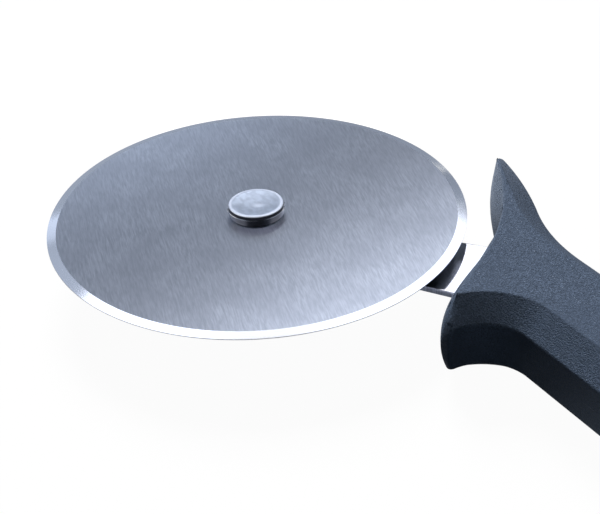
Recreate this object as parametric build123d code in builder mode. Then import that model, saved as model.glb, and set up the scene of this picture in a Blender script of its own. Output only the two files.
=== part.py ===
"""A pizza cutter: a ground steel wheel that turns on a riveted axle, carried by a flat shank in a moulded handle.

The origin is the wheel's centre. +X runs back along the grip, +Y towards the thumb wing and +Z along the axle
towards the rivet's head. Lengths are in millimetres and angles in degrees.
"""

from build123d import *

import os
from math import atan2, cos, degrees, radians, sin, tan

# Wheel
wheel_diameter = 100.0
wheel_thickness = 1.2
ground_width = 2.2
edge_land = 0.2

# Axle: a rivet inside a plain sleeve, with a washer at each end of the stack
rivet_diameter = 5.0
rivet_fit = 0.02
head_diameter = 13.2
head_thickness = 0.8
head_rim_width = 1.0
head_dish_depth = 0.3
head_edge_radius = 0.3
tail_diameter = 9.0
tail_height = 1.4
sleeve_diameter = 9.0
running_clearance = 0.05
axial_play = 0.1
head_washer_diameter = 14.0
head_washer_foot = 13.1
head_washer_thickness = 2.0
thrust_washer_diameter = 15.0
thrust_washer_thickness = 2.2
tail_washer_diameter = 12.0
tail_washer_thickness = 0.9
washer_edge_chamfer = 0.15

# Shank: a flat plate that widens from the axle to the handle and carries on inside the grip as a narrower tang
shank_hub_width = 16.0
shank_root_width = 21.2
shank_thickness = 1.6
shank_angle = 34.3
tang_width = 14.0
tang_end_x = 148.0
tang_hole_diameter = 6.0
tang_hole_count = 3
tang_hole_spacing = 24.0

# Handle: the grip's section, which has a wall at each side and a bevel from each wall to the flat faces
grip_axis_y = 34.6
grip_width = 27.5
grip_wall_height = 10.3
bevel_width = 5.75
bevel_drop = 4.6
crease_radius = 0.8

# Handle: the thumb wing along the top of the grip, from its root to its tip
thumb_root_x = 61.3
thumb_crest_x = 39.3
thumb_crest_rise = 5.2
thumb_tip_x = 11.3
thumb_tip_rise = 14.5

# Handle: the finger guard under the grip
guard_back_x = 66.1
guard_depth = 12.3
guard_fillet = 10.8

# Handle: the front, which faces the wheel. Its points lie on one circle. On the flat faces it is hollow all
# along. At half height the wings reach further and bulge towards the wheel, and between the bulges is the pocket
# that the shank comes out of.
front_center = (-28.3, -28.3)
front_radius = 98.2
thumb_front_angle = 64.5
thumb_face_angle = 61.5
thumb_bulge_radius = 68.0
thumb_tip_radius = 2.2
pocket_thumb_angle = 46.5
pocket_guard_angle = 38.3
guard_front_angle = 22.3
guard_face_angle = 25.6
guard_bulge_radius = 31.0
guard_tip_radius = 4.0
wing_face_radius = 104.0

# Handle: the butt end and its hanging hole
palm_start_x = 104.0
butt_x = 176.0
butt_top_drop = 3.5
butt_heel_drop = 5.5
butt_corner_radius = 9.0
hang_hole_diameter = 8.0
hang_hole_inset = 14.0
hang_hole_drop = 3.0
hang_hole_chamfer = 0.8

# Heights that follow, measured from the wheel's middle plane
wheel_top = wheel_thickness / 2
sleeve_top = wheel_top + axial_play
head_bottom = sleeve_top + head_washer_thickness
head_top = head_bottom + head_thickness
thrust_washer_top = -wheel_top - axial_play
thrust_washer_bottom = thrust_washer_top - thrust_washer_thickness
shank_top = thrust_washer_bottom - axial_play
shank_bottom = shank_top - shank_thickness
tail_washer_bottom = shank_bottom - tail_washer_thickness
handle_middle = shank_bottom + shank_thickness / 2
half_wall = grip_wall_height / 2
half_handle = half_wall + bevel_drop

# Places and sizes that follow, in plan
wheel_radius = wheel_diameter / 2
rivet_hole = rivet_diameter + 2 * rivet_fit
turning_hole = sleeve_diameter + 2 * running_clearance
grip_top_y = grip_axis_y + grip_width / 2
grip_bottom_y = grip_axis_y - grip_width / 2
guard_tip_y = grip_bottom_y - guard_depth
bend_x = grip_axis_y / tan(radians(shank_angle))
tang_length = tang_end_x - tang_width / 2 - bend_x
tang_middle = (bend_x + tang_length / 2, grip_axis_y)
hang_hole_place = (butt_x - hang_hole_inset, grip_axis_y - hang_hole_drop, handle_middle)
bevel_angle = degrees(atan2(bevel_width, bevel_drop))

os.makedirs("parts", exist_ok=True)


def ring(foot_diameter, top_diameter, hole_diameter, bottom, top, edge_chamfer):
    """A ring between two heights, as wide at its foot and at its top as asked, with its outer edges broken."""
    with BuildPart() as washer:
        with BuildSketch(Plane.XZ):
            with BuildLine():
                Polyline(
                    (hole_diameter / 2, bottom),
                    (foot_diameter / 2, bottom),
                    (top_diameter / 2, top),
                    (hole_diameter / 2, top),
                    close=True,
                )
            make_face()
        revolve(axis=Axis.Z)
        if edge_chamfer > 0:
            round_edges = washer.edges().filter_by(GeomType.CIRCLE)
            chamfer(round_edges.sort_by(SortBy.RADIUS)[-2:], edge_chamfer)
    return washer


# Wheel: a disc ground to a narrow land from both sides
with BuildPart() as blade_wheel:
    with BuildSketch(Plane.XZ):
        with BuildLine():
            Polyline(
                (turning_hole / 2, -wheel_top),
                (wheel_radius - ground_width, -wheel_top),
                (wheel_radius, -edge_land / 2),
                (wheel_radius, edge_land / 2),
                (wheel_radius - ground_width, wheel_top),
                (turning_hole / 2, wheel_top),
                close=True,
            )
        make_face()
    revolve(axis=Axis.Z)

# Rivet: a dished head, a straight body through the stack and a domed tail closed over the rear washer
with BuildPart() as axle_rivet:
    with BuildSketch(Plane.XZ):
        with BuildLine():
            dish_edge = (head_diameter / 2 - head_rim_width, head_top)
            dish = TangentArc((0, head_top - head_dish_depth), dish_edge, tangent=(1, 0))
            tail_edge = (tail_diameter / 2, tail_washer_bottom)
            tail = TangentArc((0, tail_washer_bottom - tail_height), tail_edge, tangent=(1, 0))
            Polyline(
                dish_edge,
                (head_diameter / 2, head_top),
                (head_diameter / 2, head_bottom),
                (rivet_diameter / 2, head_bottom),
                (rivet_diameter / 2, tail_washer_bottom),
                tail_edge,
            )
            Line(tail @ 0, dish @ 0)
        make_face()
    revolve(axis=Axis.Z)
    fillet(axle_rivet.edges().filter_by(GeomType.CIRCLE).group_by(Axis.Z)[-1], head_edge_radius)

# Sleeve and washers: the wheel and the thrust washer turn on the sleeve, and the rivet clamps the rest. The
# washer under the rivet's head narrows towards the wheel.
axle_sleeve = ring(sleeve_diameter, sleeve_diameter, rivet_hole, shank_top, sleeve_top, 0)
head_washer = ring(
    head_washer_foot, head_washer_diameter, rivet_hole, sleeve_top, head_bottom, washer_edge_chamfer
)
thrust_washer = ring(
    thrust_washer_diameter,
    thrust_washer_diameter,
    turning_hole,
    thrust_washer_bottom,
    thrust_washer_top,
    washer_edge_chamfer,
)
tail_washer = ring(
    tail_washer_diameter,
    tail_washer_diameter,
    rivet_hole,
    tail_washer_bottom,
    shank_bottom,
    washer_edge_chamfer,
)

# Shank: a plate with a round hub end, which turns into the tang where it meets the grip's axis
with BuildPart() as shank:
    with BuildSketch(Plane.XY.offset(shank_bottom)):
        Circle(shank_hub_width / 2)
        with Locations((bend_x, grip_axis_y)):
            Circle(shank_root_width / 2)
        make_hull()
        with Locations(tang_middle):
            SlotCenterToCenter(tang_length, tang_width)
        Circle(rivet_hole / 2, mode=Mode.SUBTRACT)
        with Locations(tang_middle):
            with GridLocations(tang_hole_spacing, 0, tang_hole_count, 1):
                Circle(tang_hole_diameter / 2, mode=Mode.SUBTRACT)
    extrude(amount=shank_thickness)


def front_point(angle):
    """A point of the circle that the front is drawn on."""
    x = front_center[0] + front_radius * cos(radians(angle))
    y = front_center[1] + front_radius * sin(radians(angle))
    return x, y


def front_region(height, thumb_angle, thumb_radius, guard_angle, guard_radius):
    """The plan region behind the front at one height, with where each wing ends and the radius of its arc."""
    pocket_thumb = front_point(pocket_thumb_angle)
    pocket_guard = front_point(pocket_guard_angle)
    behind_x = butt_x + grip_width
    with BuildSketch(Plane.XY.offset(height)) as region:
        with BuildLine():
            thumb = RadiusArc(front_point(thumb_angle), pocket_thumb, thumb_radius)
            RadiusArc(pocket_thumb, pocket_guard, front_radius)
            guard = RadiusArc(pocket_guard, front_point(guard_angle), guard_radius)
            corners = []
            for start, heading, tip_radius in (
                (thumb @ 0, thumb % 0 * -1, thumb_tip_radius),
                (guard @ 1, guard % 1, guard_tip_radius),
            ):
                tip = JernArc(start, heading, tip_radius, -degrees(atan2(heading.Y, heading.X)))
                side = Line(tip @ 1, (behind_x, (tip @ 1).Y))
                corners.append(side @ 1)
            Line(*corners)
        make_face()
    return region.sketch


# Front limit: all that lies behind the front, from the lower flat face through half height to the upper one
face_wings = (thumb_face_angle, wing_face_radius, guard_face_angle, wing_face_radius)
full_wings = (thumb_front_angle, -thumb_bulge_radius, guard_front_angle, -guard_bulge_radius)
lower_face = front_region(handle_middle - half_handle, *face_wings)
half_height = front_region(handle_middle, *full_wings)
upper_face = front_region(handle_middle + half_handle, *face_wings)
with BuildPart() as front_limit:
    loft([lower_face, half_height, upper_face])

# Grip outline: the grip and both wings in plan, at the top of the walls
with BuildSketch(Plane.XY.offset(handle_middle + half_wall)) as grip_outline:
    with BuildLine():
        top = Line((palm_start_x, grip_top_y), (thumb_root_x, grip_top_y))
        rise = TangentArc(top @ 1, (thumb_crest_x, grip_top_y + thumb_crest_rise), tangent=top % 1)
        crown = TangentArc(rise @ 1, (thumb_tip_x, grip_top_y + thumb_tip_rise), tangent=rise % 1)
        bottom = Line((palm_start_x, grip_bottom_y), (guard_back_x, grip_bottom_y))
        Polyline(bottom @ 1, (guard_back_x, guard_tip_y), (thumb_tip_x, guard_tip_y), crown @ 1)
        heel = TangentArc(bottom @ 0, (butt_x, grip_bottom_y - butt_heel_drop), tangent=(1, 0))
        back = TangentArc(top @ 0, (butt_x, grip_top_y - butt_top_drop), tangent=(1, 0))
        Line(heel @ 1, back @ 1)
    make_face()
    fillet(grip_outline.vertices().sort_by_distance(bottom @ 1)[0], guard_fillet)
    fillet(grip_outline.vertices().group_by(Axis.X)[-1], butt_corner_radius)

# Handle: the outline bevelled all round, cut off by the front and moulded round the tang
with BuildPart() as handle:
    extrude(grip_outline.sketch, amount=-half_wall)
    extrude(grip_outline.sketch, amount=bevel_drop, taper=bevel_angle)
    mirror(about=Plane.XY.offset(handle_middle))
    fillet(handle.edges().filter_by(Plane.XY), crease_radius)
    add(front_limit.part, mode=Mode.INTERSECT)
    add(shank.part, mode=Mode.SUBTRACT)
    with Locations(hang_hole_place):
        Cylinder(hang_hole_diameter / 2, 2 * half_handle, mode=Mode.SUBTRACT)
    flat_faces = handle.faces().sort_by(Axis.Z)
    hole_rims = flat_faces[0].inner_wires().edges() + flat_faces[-1].inner_wires().edges()
    chamfer(hole_rims, hang_hole_chamfer)

for piece, name in (
    (blade_wheel, "blade_wheel"),
    (axle_rivet, "axle_rivet"),
    (axle_sleeve, "axle_sleeve"),
    (head_washer, "head_washer"),
    (thrust_washer, "thrust_washer"),
    (tail_washer, "tail_washer"),
    (shank, "shank"),
    (handle, "handle"),
):
    piece.part.label = name
    export_step(piece.part, f"parts/{name}.step")
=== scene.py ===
"""Looks of a hand pizza cutter: brushed wheel, riveted axle, polished shank and grained plastic handle.

Everything is in metres, in the part's own frame: the origin is the wheel's centre, +X runs back along the
grip, +Y towards the thumb wing and +Z along the axle towards the rivet's head. Colours are red, green, blue
and opacity, and the tints of the studio's cards have no opacity.
"""

import math

import bpy
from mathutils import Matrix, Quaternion, Vector


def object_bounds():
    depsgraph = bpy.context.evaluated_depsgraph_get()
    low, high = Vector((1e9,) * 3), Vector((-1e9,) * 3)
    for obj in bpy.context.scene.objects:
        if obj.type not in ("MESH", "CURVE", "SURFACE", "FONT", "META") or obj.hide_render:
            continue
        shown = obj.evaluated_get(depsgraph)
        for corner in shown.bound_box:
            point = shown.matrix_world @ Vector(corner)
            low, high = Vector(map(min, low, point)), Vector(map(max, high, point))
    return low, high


MM = 0.001

# Camera: where it stands, the point of the wheel's plane that it aims at, its roll and its lens
EYE = Vector((275.5, -144.1, 191.4)) * MM
AIM = Vector((21.6, -1.0, 0.0)) * MM
ROLL = math.radians(3.33)
SENSOR_WIDTH_MM = 36.0
LENS_MM = 91.59
NEAREST_SEEN = 0.01

# Soft edges: the gaps closed first, the angle that counts as sharp, the facets and the width on each piece
WELD_REACH = 0.001 * MM
SHARP_ANGLE = math.radians(50.0)
SOFT_EDGE_FACETS = 3
HANDLE_EDGE = 0.8 * MM
SHANK_EDGE = 0.35 * MM

# Noise: the levels that are taken as fully dark and fully light, its mean and its finer octaves
NOISE_DARK = 0.3
NOISE_LIGHT = 0.7
NOISE_MEAN = 0.5
NOISE_DETAIL = 2.0

# Wheel: straight brushing on the flat faces
BRUSH_ANGLE = math.radians(-18.0)
BRUSH_STREAK = (3.6 * MM, 0.5 * MM, 0.5 * MM)
BRUSH_SCRATCH = (2.4 * MM, 0.25 * MM, 0.25 * MM)
BRUSH_CLOUD = (12.0 * MM, 12.0 * MM, 12.0 * MM)
BRUSH_DARK = (0.395, 0.425, 0.475, 1.0)
BRUSH_LIGHT = (0.59, 0.62, 0.675, 1.0)
BRUSH_DULL = (0.40, 0.425, 0.475, 1.0)
BRUSH_DULL_SHARE = 0.5
BRUSH_SCRATCH_SHARE = 0.5
BRUSH_ROUGHNESS = (0.279, 0.287)
BRUSH_ANISOTROPY = 0.75
BRUSH_DEPTH = 0.003 * MM

# Wheel: the underside, painted darker as shade, which begins just below the outer edge
UNDERSIDE_SHADE_TOP = -0.11 * MM
UNDERSIDE_SHADE_COLOR = (0.18, 0.19, 0.22, 1.0)
UNDERSIDE_SHADE_SHARE = 0.6

# Wheel: the smoother ground bevel at its upper rim, with grinding rings
BEVEL_INNER_RADIUS = 47.8 * MM
BEVEL_BLUR = 0.05 * MM
BEVEL_COLOR = (0.80, 0.82, 0.86, 1.0)
BEVEL_ROUGHNESS = 0.10
BEVEL_RING = 0.12 * MM

# Wheel: the pale matte edge between the bevels, and the slopes between which the surface turns into a face
EDGE_SLOPES = (0.2, 0.5)
EDGE_COLOR = (0.95, 0.95, 0.97, 1.0)
EDGE_ROUGHNESS = 1.0

# Rivet and washers: the slopes between which a side turns into a face
FACE_SLOPES = (0.25, 0.6)

# Rivet: a bright rim round a mottled dish, with a painted highlight beside its middle, and sides painted
# dark as shade
DISH_RADIUS = 5.8 * MM
DISH_BLUR = 0.25 * MM
DISH_BLOTCH = (2.6 * MM, 1.6 * MM, 1.6 * MM)
DISH_GRAIN = (0.4 * MM, 0.4 * MM, 0.4 * MM)
DISH_DARK = (0.39, 0.43, 0.49, 1.0)
DISH_LIGHT = (0.50, 0.55, 0.62, 1.0)
DISH_ROUGHNESS = (0.30, 0.42)
DISH_DENT_DEPTH = 0.06 * MM
DISH_GRAIN_DEPTH = 0.01 * MM
DISH_HIGHLIGHT_PLACE = (1.1 * MM, 0.1 * MM, 0.0)
DISH_HIGHLIGHT_SIZE = (2.4 * MM, 1.5 * MM, 10.0 * MM)
DISH_HIGHLIGHT_ANGLE = math.radians(55.0)
DISH_HIGHLIGHT_COLOR = (0.90, 0.94, 1.0, 1.0)
DISH_HIGHLIGHT_SHARE = 0.8
RIM_COLOR = (0.70, 0.74, 0.81, 1.0)
RIM_ROUGHNESS = 0.40
RIVET_SIDE_SHADE = (0.05, 0.05, 0.06, 1.0)

# Washers and sleeve: turned steel with fine rings and some stain, and sides painted dark as shade
TURNED_RING = 0.15 * MM
TURNED_DARK = (0.42, 0.44, 0.48, 1.0)
TURNED_LIGHT = (0.55, 0.57, 0.61, 1.0)
TURNED_DEPTH = 0.01 * MM
STAIN_SPOT = (1.2 * MM, 1.2 * MM, 1.2 * MM)
STAIN_COLOR = (0.45, 0.46, 0.50, 1.0)
STAIN_SHARE = 0.5
STAIN_ROUGHNESS = (0.12, 0.24)
TURNED_SIDE_SHADE = (0.20, 0.20, 0.23, 1.0)

# Shank: polished faces with fine lengthwise marks, and duller sheared edges
SHANK_ANGLE = math.radians(34.3)
SHANK_FACE_SLOPES = (0.7, 0.95)
POLISH_MARK = (20.0 * MM, 0.2 * MM, 0.2 * MM)
POLISH_DARK = (0.78, 0.78, 0.80, 1.0)
POLISH_LIGHT = (0.88, 0.88, 0.90, 1.0)
POLISH_ROUGHNESS = (0.05, 0.10)
SHEAR_MARK = (0.35 * MM, 0.35 * MM, 3.0 * MM)
SHEAR_DARK = (0.52, 0.54, 0.64, 1.0)
SHEAR_LIGHT = (0.80, 0.83, 0.96, 1.0)
SHEAR_ROUGHNESS = 0.45
SHANK_MARK_DEPTH = 0.004 * MM

# Handle: dark slate plastic with a blasted grain, which is fainter on the side walls
SLATE_GRAIN = (0.32 * MM, 0.32 * MM, 0.32 * MM)
SLATE_FINE_GRAIN = (0.15 * MM, 0.15 * MM, 0.15 * MM)
SLATE_FINE_SHARE = 0.4
GRAIN_MEAN = NOISE_MEAN * (1.0 + SLATE_FINE_SHARE)
SLATE_PATCH = (14.0 * MM, 14.0 * MM, 14.0 * MM)
SLATE_DARK = (0.032, 0.045, 0.069, 1.0)
SLATE_LIGHT = (0.109, 0.146, 0.216, 1.0)
SLATE_DULL = (0.056, 0.077, 0.118, 1.0)
SLATE_DULL_SHARE = 0.4
SLATE_ROUGHNESS = (0.32, 0.22)
SLATE_SPECULAR = 0.28
SLATE_SPECULAR_TINT = (0.64, 0.82, 1.0, 1.0)
SLATE_DEPTH = 0.20 * MM
WALL_HALF_HEIGHT = 5.15 * MM
WALL_FADE = (0.6 * MM, 0.2 * MM)
WALL_GRAIN_SHARE = 0.45
PARTING_LEVEL = -3.8 * MM
PARTING_WIDTH = 0.35 * MM
PARTING_DEPTH = 0.05 * MM

# Relief: how strongly a height field turns the surface
FAINT_RELIEF = 0.3
CLEAR_RELIEF = 0.6

# Studio: the light from all round, the background's white, and the floor with its share of plain white
AMBIENT_COLOR = (0.70, 0.86, 1.0, 1.0)
AMBIENT_LEVEL = 0.035
WHITE = (1.0, 1.0, 1.0, 1.0)
FLOOR_REACH = 3.0
FLOOR_COLOR = (0.9, 0.9, 0.9, 1.0)
FLOOR_WHITE_IN_VIEW = 0.965

# Studio: the dim table that reflections show in the floor's place, with light patches on it
TABLE_LEVEL = 0.11
TABLE_TINT = (0.85, 0.95, 1.12, 1.0)

# Studio: rows of a light patch's place, the distances between which it fades out, and its brightness
TABLE_PATCHES = (
    ((-60.0 * MM, 40.0 * MM, 0.0), (35.0 * MM, 90.0 * MM), 1.2),
    ((131.0 * MM, 4.0 * MM, 0.0), (22.0 * MM, 58.0 * MM), 0.72),
)

# Studio: the key light's compass direction, its elevation, distance, size and power
KEY_TURN = 160.0
KEY_ELEVATION = 35.0
KEY_DISTANCE = 2.4
KEY_SIZE = 1.0
KEY_POWER = 126.0
KEY_AIM = Vector((60.0, 20.0, 0.0)) * MM

# Studio: how far off the cards stand that only reflections show, and the tints of their brightness
CARD_DISTANCE = 1.5
SLATE_TINT = (0.80, 0.90, 1.10)
BRIGHT_TINT = (0.94, 0.98, 1.10)
DARK_TINT = (0.8, 1.0, 1.3)

# Cards beyond the object: rows of a compass direction, its lower and upper elevation, and its brightness
LOW_CARD = (
    (100, 0, 12, 0.34),
    (129, 0, 14, 0.40),
    (143, 0, 20, 0.36),
    (152, 0, 21, 0.42),
    (160, 0, 21, 0.45),
    (172, 4, 21, 0.48),
    (180, 4, 21, 0.55),
    (215, 4, 21, 0.60),
)
GLOW_CARD = (
    (143, 20, 24, 0.34),
    (152, 21, 27.5, 1.15),
    (160, 21, 28, 1.75),
    (172, 21, 28, 1.25),
    (180, 21, 27, 0.64),
    (215, 21, 27, 0.64),
)
SLATE_CARD = (
    (100, 12, 40, 0.34),
    (115, 13, 36, 0.36),
    (127, 14, 28, 0.39),
    (129, 14, 26, 0.39),
    (143, 24, 33, 0.22),
    (152, 27.5, 36, 0.15),
    (160, 28, 40.5, 0.05),
    (172, 28, 40.5, 0.32),
    (180, 27, 42, 0.58),
    (215, 27, 46, 0.62),
)

# Bright card: it stands on the slate card up to this elevation, and is brightest at one direction
BRIGHT_TOP = 62
BRIGHT_LEVEL = 1.85
BRIGHTEST_TURN = 152
BRIGHTEST_LEVEL = 2.70
BRIGHT_CARD = tuple(
    (turn, foot, BRIGHT_TOP, BRIGHTEST_LEVEL if turn == BRIGHTEST_TURN else BRIGHT_LEVEL)
    for turn, _, foot, _ in SLATE_CARD
)

# Cards in front of the object: a dark one overhead, in rows like those, a low bright strip and a dim one
DARK_CARD = (
    (-85, 38, 80, 0.20),
    (-70, 38, 88, 0.012),
    (-40, 38, 88, 0.012),
    (-10, 38, 88, 0.012),
    (15, 38, 88, 0.012),
    (40, 38, 80, 0.20),
)
STRIP_ELEVATIONS = (3, 11)
STRIP_LEVEL = 1.8
STRIP_TURNS = (-115, -75, -35, 5, 45, 90)
STRIP_CARD = tuple((turn, *STRIP_ELEVATIONS, STRIP_LEVEL) for turn in STRIP_TURNS)
FRONT_ELEVATIONS = (14, 38)
FRONT_LEVELS = {-115: 0.42, -80: 0.34, -45: 0.32, -10: 0.32, 30: 0.34, 65: 0.38, 90: 0.42}
FRONT_CARD = tuple((turn, *FRONT_ELEVATIONS, level) for turn, level in FRONT_LEVELS.items())

# Mixing: the places of the two inputs and of the output, for colours and for numbers
COLOR_SOCKETS = (6, 7, 2)
NUMBER_SOCKETS = (2, 3, 0)

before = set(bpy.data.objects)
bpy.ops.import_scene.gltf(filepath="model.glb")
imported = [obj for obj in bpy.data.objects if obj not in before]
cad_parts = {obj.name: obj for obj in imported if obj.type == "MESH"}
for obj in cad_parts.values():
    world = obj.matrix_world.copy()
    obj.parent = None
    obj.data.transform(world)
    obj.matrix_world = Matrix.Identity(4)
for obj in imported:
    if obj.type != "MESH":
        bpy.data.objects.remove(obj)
cad_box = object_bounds()


class Finish:
    """A material's node tree, with short calls for the nodes that the finishes share."""

    def __init__(self, name):
        self.material = bpy.data.materials.new(name)
        self.material.use_nodes = True
        self.tree = self.material.node_tree
        self.surface = self.tree.nodes["Principled BSDF"]
        self.coordinates = self.tree.nodes.new("ShaderNodeTexCoord")

    def node(self, kind, **settings):
        """A new node with these settings."""
        made = self.tree.nodes.new(kind)
        for name, value in settings.items():
            setattr(made, name, value)
        return made

    def feed(self, socket, value):
        """Links an output to a socket, or sets the socket's own value."""
        if isinstance(value, bpy.types.NodeSocket):
            self.tree.links.new(value, socket)
        else:
            socket.default_value = value

    def wears(self, **inputs):
        """Feeds the surface's inputs, named with _ for each space."""
        for name, value in inputs.items():
            self.feed(self.surface.inputs[name.replace("_", " ")], value)

    def math(self, operation, first, second=0.0):
        """One arithmetic step on numbers or outputs."""
        step = self.node("ShaderNodeMath", operation=operation)
        self.feed(step.inputs[0], first)
        self.feed(step.inputs[1], second)
        return step.outputs[0]

    def between(self, value, low, high, at_low=0.0, at_high=1.0):
        """Follows value from at_low to at_high as it goes from low to high, and stays there beyond."""
        ramp = self.node("ShaderNodeMapRange", interpolation_type="SMOOTHSTEP")
        settings = (value, low, high, at_low, at_high)
        for socket, setting in zip(ramp.inputs, settings):
            self.feed(socket, setting)
        return ramp.outputs[0]

    def mix(self, share, first, second, kind="RGBA", sockets=COLOR_SOCKETS):
        """The first colour where share is 0, the second where it is 1."""
        at_zero, at_one, result = sockets
        blend = self.node("ShaderNodeMix", data_type=kind)
        self.feed(blend.inputs["Factor"], share)
        self.feed(blend.inputs[at_zero], first)
        self.feed(blend.inputs[at_one], second)
        return blend.outputs[result]

    def mix_number(self, share, first, second):
        """The first number where share is 0, the second where it is 1."""
        return self.mix(share, first, second, "FLOAT", NUMBER_SOCKETS)

    def noise(self, size, turn=0.0):
        """Noise from 0 to 1 on the object's own coordinates: size is a patch's length, width and height."""
        placed = self.node("ShaderNodeMapping", vector_type="TEXTURE")
        self.feed(placed.inputs["Vector"], self.coordinates.outputs["Object"])
        placed.inputs["Rotation"].default_value = (0.0, 0.0, turn)
        placed.inputs["Scale"].default_value = size
        cloud = self.node("ShaderNodeTexNoise")
        self.feed(cloud.inputs["Vector"], placed.outputs[0])
        cloud.inputs["Scale"].default_value = 1.0
        cloud.inputs["Detail"].default_value = NOISE_DETAIL
        return self.between(cloud.outputs["Fac"], NOISE_DARK, NOISE_LIGHT)

    def place(self):
        """The object's own x, y and z."""
        parts = self.node("ShaderNodeSeparateXYZ")
        self.feed(parts.inputs[0], self.coordinates.outputs["Object"])
        return parts.outputs

    def facing_up(self):
        """How far the surface's own normal points along +Z or -Z, from 0 to 1."""
        parts = self.node("ShaderNodeSeparateXYZ")
        self.feed(parts.inputs[0], self.coordinates.outputs["Normal"])
        return self.math("ABSOLUTE", parts.outputs["Z"])

    def radius(self):
        """Distance from the axle's line."""
        x, y, _ = self.place()
        squares = self.math("ADD", self.math("MULTIPLY", x, x), self.math("MULTIPLY", y, y))
        return self.math("SQRT", squares)

    def rings(self, width):
        """Fine turning marks round the axle, from 0 to 1, of this width."""
        marks = self.node("ShaderNodeTexNoise", noise_dimensions="1D")
        self.feed(marks.inputs["W"], self.math("DIVIDE", self.radius(), width))
        marks.inputs["Scale"].default_value = 1.0
        marks.inputs["Detail"].default_value = NOISE_DETAIL
        return self.between(marks.outputs["Fac"], NOISE_DARK, NOISE_LIGHT)

    def across(self, turn):
        """The level direction square to a line at this turn from +X, as the object stands."""
        direction = self.node("ShaderNodeCombineXYZ")
        for socket, value in zip(direction.inputs, (-math.sin(turn), math.cos(turn), 0.0)):
            socket.default_value = value
        turned = self.node("ShaderNodeVectorTransform", vector_type="VECTOR")
        turned.convert_from = "OBJECT"
        turned.convert_to = "WORLD"
        self.feed(turned.inputs[0], direction.outputs[0])
        return turned.outputs[0]

    def spot(self, place, size, turn):
        """1 in the middle of an oval spot, 0 outside it: size is half its length, width and height."""
        placed = self.node("ShaderNodeMapping", vector_type="TEXTURE")
        self.feed(placed.inputs["Vector"], self.coordinates.outputs["Object"])
        placed.inputs["Location"].default_value = place
        placed.inputs["Rotation"].default_value = (0.0, 0.0, turn)
        placed.inputs["Scale"].default_value = size
        distance = self.node("ShaderNodeVectorMath", operation="LENGTH")
        self.feed(distance.inputs[0], placed.outputs[0])
        return self.between(distance.outputs["Value"], 0.0, 1.0, 1.0, 0.0)

    def relief(self, height, depth, strength, below=None):
        """Relief of this depth for each unit of height, over an earlier relief if one is given."""
        bump = self.node("ShaderNodeBump")
        self.feed(bump.inputs["Height"], height)
        bump.inputs["Distance"].default_value = depth
        bump.inputs["Strength"].default_value = strength
        if below is not None:
            self.feed(bump.inputs["Normal"], below)
        return bump.outputs[0]

    def cover(self, *nodes):
        """Puts this material on these CAD nodes."""
        for name in nodes:
            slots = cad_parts[name].data.materials
            slots.clear()
            slots.append(self.material)


def steel(name):
    """A bare metal finish to build on."""
    finish = Finish(name)
    finish.wears(Metallic=1.0)
    return finish


def wheel_finish():
    """Brushed stainless steel with straight scratches, a shiny ground bevel and an underside painted darker
    as shade.
    """
    finish = steel("wheel_steel")
    streaks = finish.noise(BRUSH_STREAK, BRUSH_ANGLE)
    scratches = finish.noise(BRUSH_SCRATCH, BRUSH_ANGLE)
    clouds = finish.noise(BRUSH_CLOUD, BRUSH_ANGLE)
    rim = finish.between(finish.radius(), BEVEL_INNER_RADIUS - BEVEL_BLUR, BEVEL_INNER_RADIUS + BEVEL_BLUR)
    _, _, height = finish.place()
    bevel = finish.math("MULTIPLY", rim, finish.math("GREATER_THAN", height, 0.0))
    # The underside is painted darker, as shade.
    below = finish.math("LESS_THAN", height, UNDERSIDE_SHADE_TOP)
    underside_shade = finish.math("MULTIPLY", below, UNDERSIDE_SHADE_SHARE)
    brushing = finish.mix_number(BRUSH_SCRATCH_SHARE, streaks, scratches)

    brushed = finish.mix(brushing, BRUSH_DARK, BRUSH_LIGHT)
    clouded = finish.mix(finish.math("MULTIPLY", clouds, BRUSH_DULL_SHARE), brushed, BRUSH_DULL)
    flats_with_shade = finish.mix(underside_shade, clouded, UNDERSIDE_SHADE_COLOR)
    satin = finish.mix_number(brushing, *BRUSH_ROUGHNESS)
    ground = finish.mix_number(bevel, satin, BEVEL_ROUGHNESS)
    shine = finish.between(finish.facing_up(), *EDGE_SLOPES)
    marks = finish.mix_number(bevel, scratches, finish.rings(BEVEL_RING))
    finish.wears(
        Base_Color=finish.mix(shine, EDGE_COLOR, finish.mix(bevel, flats_with_shade, BEVEL_COLOR)),
        Roughness=finish.mix_number(shine, EDGE_ROUGHNESS, ground),
        Normal=finish.relief(marks, BRUSH_DEPTH, FAINT_RELIEF),
        Anisotropic=BRUSH_ANISOTROPY,
        Tangent=finish.across(BRUSH_ANGLE),
    )
    finish.cover("blade_wheel")


def rivet_finish():
    """Satin pressed steel: a bright rim, a mottled dish with a painted highlight, and sides painted dark as
    shade.
    """
    finish = steel("rivet_steel")
    blotches = finish.noise(DISH_BLOTCH)
    grain = finish.noise(DISH_GRAIN)
    rim = finish.between(finish.radius(), DISH_RADIUS - DISH_BLUR, DISH_RADIUS + DISH_BLUR)
    face = finish.between(finish.facing_up(), *FACE_SLOPES)
    # A painted highlight: a pale bluish oval spot beside the dish's middle.
    spot = finish.spot(DISH_HIGHLIGHT_PLACE, DISH_HIGHLIGHT_SIZE, DISH_HIGHLIGHT_ANGLE)
    painted_highlight = finish.math("MULTIPLY", spot, DISH_HIGHLIGHT_SHARE)
    mottled = finish.mix(blotches, DISH_DARK, DISH_LIGHT)
    dish_with_highlight = finish.mix(painted_highlight, mottled, DISH_HIGHLIGHT_COLOR)
    top = finish.mix(rim, dish_with_highlight, RIM_COLOR)
    satin = finish.mix_number(grain, *DISH_ROUGHNESS)
    dents = finish.relief(blotches, DISH_DENT_DEPTH, FAINT_RELIEF)
    # The sides are painted near black, as shade.
    finish.wears(
        Base_Color=finish.mix(face, RIVET_SIDE_SHADE, top),
        Roughness=finish.mix_number(rim, satin, RIM_ROUGHNESS),
        Normal=finish.relief(grain, DISH_GRAIN_DEPTH, FAINT_RELIEF, dents),
    )
    finish.cover("axle_rivet")


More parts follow.
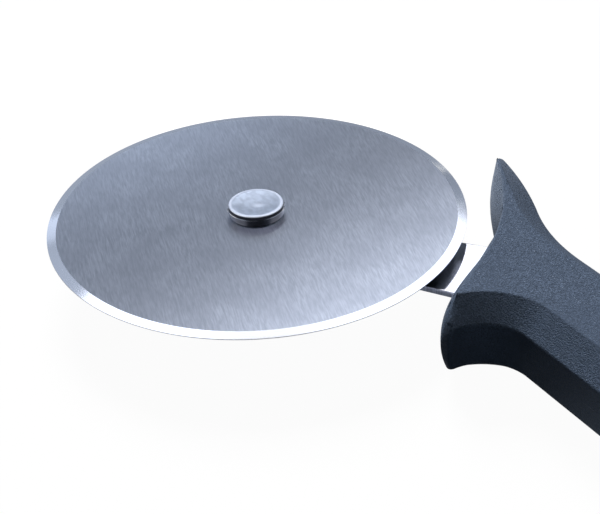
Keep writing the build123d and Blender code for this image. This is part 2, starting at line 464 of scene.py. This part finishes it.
def washer_finish():
    """Turned steel with fine rings, and sides painted dark as shade."""
    finish = steel("washer_steel")
    rings = finish.rings(TURNED_RING)
    spots = finish.noise(STAIN_SPOT)
    face = finish.between(finish.facing_up(), *FACE_SLOPES)
    turned = finish.mix(rings, TURNED_DARK, TURNED_LIGHT)
    stained = finish.mix(finish.math("MULTIPLY", spots, STAIN_SHARE), turned, STAIN_COLOR)
    # The sides are painted dark, as shade.
    finish.wears(
        Base_Color=finish.mix(face, TURNED_SIDE_SHADE, stained),
        Roughness=finish.mix_number(spots, *STAIN_ROUGHNESS),
        Normal=finish.relief(rings, TURNED_DEPTH, FAINT_RELIEF),
    )
    finish.cover("head_washer", "thrust_washer", "tail_washer", "axle_sleeve")


def shank_finish():
    """Polished plate with fine lengthwise marks, and duller sheared edges."""
    finish = steel("shank_steel")
    face = finish.between(finish.facing_up(), *SHANK_FACE_SLOPES)
    marks = finish.noise(POLISH_MARK, SHANK_ANGLE)
    shear = finish.noise(SHEAR_MARK)
    polished = finish.mix(marks, POLISH_DARK, POLISH_LIGHT)
    sheared = finish.mix(shear, SHEAR_DARK, SHEAR_LIGHT)
    shine = finish.mix_number(marks, *POLISH_ROUGHNESS)
    height = finish.mix_number(face, shear, marks)
    finish.wears(
        Base_Color=finish.mix(face, sheared, polished),
        Roughness=finish.mix_number(face, SHEAR_ROUGHNESS, shine),
        Normal=finish.relief(height, SHANK_MARK_DEPTH, FAINT_RELIEF),
    )
    finish.cover("shank")


def handle_finish():
    """Dark slate moulded plastic: blasted grain, smoother side walls and a faint parting line."""
    finish = Finish("handle_plastic")
    grain = finish.noise(SLATE_GRAIN)
    fine_grain = finish.math("MULTIPLY", finish.noise(SLATE_FINE_GRAIN), SLATE_FINE_SHARE)
    patches = finish.math("MULTIPLY", finish.noise(SLATE_PATCH), SLATE_DULL_SHARE)
    _, _, height = finish.place()
    from_middle = finish.math("ABSOLUTE", finish.math("SUBTRACT", height, PARTING_LEVEL))
    wall_top = WALL_HALF_HEIGHT - WALL_FADE[0]
    bevel_start = WALL_HALF_HEIGHT + WALL_FADE[1]
    textured = finish.between(from_middle, wall_top, bevel_start, WALL_GRAIN_SHARE, 1.0)

    slate = finish.mix(grain, SLATE_DARK, SLATE_LIGHT)
    bumps = finish.math("SUBTRACT", finish.math("ADD", grain, fine_grain), GRAIN_MEAN)
    blasting = finish.math("MULTIPLY", bumps, textured)
    blasted = finish.relief(blasting, SLATE_DEPTH, CLEAR_RELIEF)
    seam = finish.between(from_middle, 0.0, PARTING_WIDTH, 1.0, 0.0)
    finish.wears(
        Base_Color=finish.mix(patches, slate, SLATE_DULL),
        Roughness=finish.mix_number(grain, *SLATE_ROUGHNESS),
        Specular_IOR_Level=SLATE_SPECULAR,
        Specular_Tint=SLATE_SPECULAR_TINT,
        Normal=finish.relief(seam, PARTING_DEPTH, CLEAR_RELIEF, blasted),
    )
    finish.cover("handle")


def soft_edges(name, width):
    """Rounds the sharp edges of a CAD node by this width, and shades them smoothly."""
    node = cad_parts[name]
    weld = node.modifiers.new("weld", "WELD")
    weld.merge_threshold = WELD_REACH
    rounding = node.modifiers.new("rounding", "BEVEL")
    rounding.width = width
    rounding.segments = SOFT_EDGE_FACETS
    rounding.limit_method = "ANGLE"
    rounding.angle_limit = SHARP_ANGLE
    rounding.use_clamp_overlap = False
    rounding.loop_slide = False
    node.modifiers.new("shading", "WEIGHTED_NORMAL")


def shown_directly(tree, in_view):
    """The share in_view in the camera's own view, 1 in reflections and through glass, and else 0."""
    path = tree.nodes.new("ShaderNodeLightPath")
    total = None
    shares = {"Is Camera Ray": in_view, "Is Glossy Ray": 1.0, "Is Transmission Ray": 1.0}
    for kind, share in shares.items():
        step = tree.nodes.new("ShaderNodeMath")
        step.operation = "MULTIPLY_ADD"
        step.use_clamp = True
        tree.links.new(path.outputs[kind], step.inputs[0])
        step.inputs[1].default_value = share
        step.inputs[2].default_value = 0.0
        if total is not None:
            tree.links.new(total, step.inputs[2])
        total = step.outputs[0]
    return total


def white_world():
    """White background, with a softer level for the light that reaches the object from all round."""
    world = bpy.data.worlds.new("studio")
    bpy.context.scene.world = world
    world.use_nodes = True
    tree = world.node_tree
    tree.nodes.clear()
    ambient = tree.nodes.new("ShaderNodeBackground")
    ambient.inputs["Color"].default_value = AMBIENT_COLOR
    ambient.inputs["Strength"].default_value = AMBIENT_LEVEL
    white = tree.nodes.new("ShaderNodeBackground")
    white.inputs["Color"].default_value = WHITE
    choice = tree.nodes.new("ShaderNodeMixShader")
    output = tree.nodes.new("ShaderNodeOutputWorld")
    tree.links.new(shown_directly(tree, 1.0), choice.inputs[0])
    tree.links.new(ambient.outputs[0], choice.inputs[1])
    tree.links.new(white.outputs[0], choice.inputs[2])
    tree.links.new(choice.outputs[0], output.inputs[0])


def stage_object(name, points, faces):
    """A plain mesh that belongs to the studio, with an empty material."""
    mesh = bpy.data.meshes.new(name)
    mesh.from_pydata(points, [], faces)
    made = bpy.data.objects.new(name, mesh)
    bpy.context.scene.collection.objects.link(made)
    material = bpy.data.materials.new(name)
    material.use_nodes = True
    material.node_tree.nodes.clear()
    mesh.materials.append(material)
    return made, material.node_tree


def table_patch(tree, place, fade, brightness):
    """A level that is this brightness round a place on the floor and fades to the table's own level."""
    position = tree.nodes.new("ShaderNodeTexCoord")
    away = tree.nodes.new("ShaderNodeVectorMath")
    away.operation = "DISTANCE"
    tree.links.new(position.outputs["Object"], away.inputs[0])
    away.inputs[1].default_value = place
    level = tree.nodes.new("ShaderNodeMapRange")
    tree.links.new(away.outputs["Value"], level.inputs[0])
    for socket, setting in zip(level.inputs[1:], (*fade, brightness, TABLE_LEVEL)):
        socket.default_value = setting
    return level.outputs[0]


def pale_floor():
    """White floor that keeps the object's shadow, faintly. Reflections show a dim table in its place."""
    bottom = cad_box[0].z
    corners = ((-1, -1), (1, -1), (1, 1), (-1, 1))
    points = [(x * FLOOR_REACH, y * FLOOR_REACH, bottom) for x, y in corners]
    floor, tree = stage_object("floor", points, [(0, 1, 2, 3)])
    floor.visible_diffuse = False
    matte = tree.nodes.new("ShaderNodeBsdfDiffuse")
    matte.inputs["Color"].default_value = FLOOR_COLOR
    path = tree.nodes.new("ShaderNodeLightPath")
    level = path.outputs["Is Camera Ray"]
    for patch in TABLE_PATCHES:
        lighter = tree.nodes.new("ShaderNodeMath")
        lighter.operation = "MAXIMUM"
        tree.links.new(level, lighter.inputs[0])
        tree.links.new(table_patch(tree, *patch), lighter.inputs[1])
        level = lighter.outputs[0]
    at_zero, at_one, result = COLOR_SOCKETS
    tint = tree.nodes.new("ShaderNodeMix")
    tint.data_type = "RGBA"
    tree.links.new(path.outputs["Is Camera Ray"], tint.inputs["Factor"])
    tint.inputs[at_zero].default_value = TABLE_TINT
    tint.inputs[at_one].default_value = WHITE
    glow = tree.nodes.new("ShaderNodeEmission")
    tree.links.new(tint.outputs[result], glow.inputs["Color"])
    tree.links.new(level, glow.inputs["Strength"])
    choice = tree.nodes.new("ShaderNodeMixShader")
    output = tree.nodes.new("ShaderNodeOutputMaterial")
    tree.links.new(shown_directly(tree, FLOOR_WHITE_IN_VIEW), choice.inputs[0])
    tree.links.new(matte.outputs[0], choice.inputs[1])
    tree.links.new(glow.outputs[0], choice.inputs[2])
    tree.links.new(choice.outputs[0], output.inputs[0])


def direction(turn, elevation):
    """The unit vector at this compass turn from +X and this elevation, in degrees."""
    level = math.cos(math.radians(elevation))
    x = level * math.cos(math.radians(turn))
    y = level * math.sin(math.radians(turn))
    return Vector((x, y, math.sin(math.radians(elevation))))


def card(name, rows, tint):
    """A curved studio card that only reflections show, from its rows and the tint of its brightness."""
    points = []
    colors = []
    for turn, low, high, brightness in rows:
        for elevation in (low, high):
            points.append(direction(turn, elevation) * CARD_DISTANCE)
            colors.append((*(part * brightness for part in tint), 1.0))
    faces = [(foot, foot + 2, foot + 3, foot + 1) for foot in range(0, len(points) - 2, 2)]
    made, tree = stage_object(name, points, faces)
    made.visible_camera = False
    made.visible_diffuse = False
    made.visible_shadow = False
    shades = made.data.color_attributes.new("shade", "FLOAT_COLOR", "POINT")
    for shade, color in zip(shades.data, colors):
        shade.color = color
    paint = tree.nodes.new("ShaderNodeVertexColor")
    paint.layer_name = "shade"
    glow = tree.nodes.new("ShaderNodeEmission")
    output = tree.nodes.new("ShaderNodeOutputMaterial")
    tree.links.new(paint.outputs["Color"], glow.inputs["Color"])
    tree.links.new(glow.outputs[0], output.inputs[0])


def key_light():
    """A large square softbox beyond the object, which lights it but isn't seen in the steel."""
    lamp = bpy.data.lights.new("key", "AREA")
    lamp.shape = "SQUARE"
    lamp.size = KEY_SIZE
    lamp.energy = KEY_POWER
    made = bpy.data.objects.new("key", lamp)
    bpy.context.scene.collection.objects.link(made)
    made.location = direction(KEY_TURN, KEY_ELEVATION) * KEY_DISTANCE
    made.rotation_mode = "QUATERNION"
    made.rotation_quaternion = (KEY_AIM - made.location).to_track_quat("-Z", "Y")
    made.visible_glossy = False


def camera():
    """The photograph's view."""
    lens = bpy.data.cameras.new("camera")
    lens.sensor_width = SENSOR_WIDTH_MM
    lens.sensor_fit = "HORIZONTAL"
    lens.lens = LENS_MM
    lens.clip_start = NEAREST_SEEN
    made = bpy.data.objects.new("camera", lens)
    bpy.context.scene.collection.objects.link(made)
    made.location = EYE
    made.rotation_mode = "QUATERNION"
    level = (AIM - EYE).to_track_quat("-Z", "Y")
    made.rotation_quaternion = level @ Quaternion((0, 0, 1), -ROLL)
    bpy.context.scene.camera = made


wheel_finish()
rivet_finish()
washer_finish()
shank_finish()
handle_finish()
soft_edges("handle", HANDLE_EDGE)
soft_edges("shank", SHANK_EDGE)

bpy.context.scene.view_settings.view_transform = "Standard"
white_world()
pale_floor()
card("low_card", LOW_CARD, SLATE_TINT)
card("glow_card", GLOW_CARD, SLATE_TINT)
card("slate_card", SLATE_CARD, SLATE_TINT)
card("bright_card", BRIGHT_CARD, BRIGHT_TINT)
card("dark_card", DARK_CARD, DARK_TINT)
card("front_card", FRONT_CARD, SLATE_TINT)
card("strip_card", STRIP_CARD, BRIGHT_TINT)
key_light()
camera()
